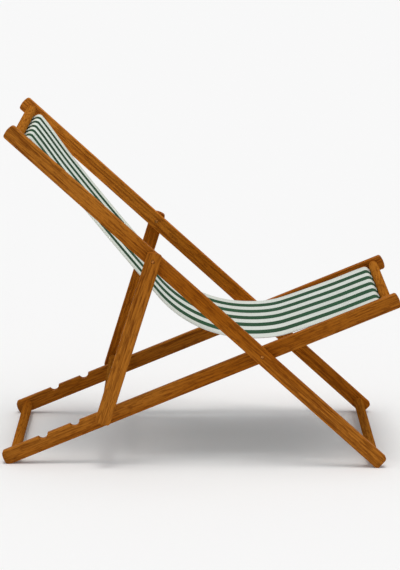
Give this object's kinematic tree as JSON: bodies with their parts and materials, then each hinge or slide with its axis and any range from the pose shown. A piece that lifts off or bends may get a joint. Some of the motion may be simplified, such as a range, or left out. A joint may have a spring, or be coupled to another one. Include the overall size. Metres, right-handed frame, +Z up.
{
  "type": "wooden folding deck chair",
  "caption": "Folding deck chair: crossed timber frames on pivot bolts, a notched rest with a hinged strut frame, and a striped cloth sling hung between round bars.",
  "frame": {"origin": "on the floor, under the middle of the chair's overall length and width", "axes": "+X the way the sitter faces, +Y the sitter's left, +Z up"},
  "size_m": [1.0968, 0.583, 0.9516],
  "materials": {
    "rail_wood": "satin stained hardwood, straight grain along each rail",
    "dowel_wood": "satin stained hardwood dowel",
    "hem_rods": "plain turned rod",
    "sling_cloth": "woven canvas, five green stripes on off-white",
    "pivot_brass": "dulled brass",
    "washers": "plain zinc"
  },
  "bodies": {
    "seat_frame": {"seat_rail_left": "rail_wood", "seat_rail_right": "rail_wood", "front_stretcher": "dowel_wood", "front_sling_bar": "dowel_wood", "tail_stretcher": "dowel_wood", "sling": "sling_cloth", "sling_rod_front": "hem_rods", "main_pivot_bolt_left": "pivot_brass", "main_pivot_bolt_right": "pivot_brass", "main_pivot_washer_left": "washers", "main_pivot_washer_right": "washers", "main_pivot_nut_left": "pivot_brass", "main_pivot_nut_right": "pivot_brass"},
    "back_frame": {"back_rail_left": "rail_wood", "back_rail_right": "rail_wood", "top_stretcher": "dowel_wood", "top_sling_bar": "dowel_wood", "foot_stretcher": "dowel_wood", "sling_rod_top": "hem_rods", "strut_pivot_bolt_left": "pivot_brass", "strut_pivot_bolt_right": "pivot_brass", "strut_pivot_washer_left": "washers", "strut_pivot_washer_right": "washers", "strut_pivot_nut_left": "pivot_brass", "strut_pivot_nut_right": "pivot_brass"},
    "strut_frame": {"strut_left": "rail_wood", "strut_right": "rail_wood", "strut_crossbar": "dowel_wood"}
  },
  "joints": [
    {"name": "fold", "type": "hinge", "parent": "seat_frame", "child": "back_frame", "pos_m": [0.17082, 0, 0.31654], "axis": [0, 1, 0], "range_deg": [0, 110], "deforming": ["sling"]},
    {"name": "strut_swing", "type": "hinge", "parent": "back_frame", "child": "strut_frame", "pos_m": [-0.12856, 0, 0.5878], "axis": [0, 1, 0], "range_deg": [0, 110]}
  ],
  "couplings": [
    {"joint": "strut_swing", "follows": "fold", "ratio": 1}
  ]
}
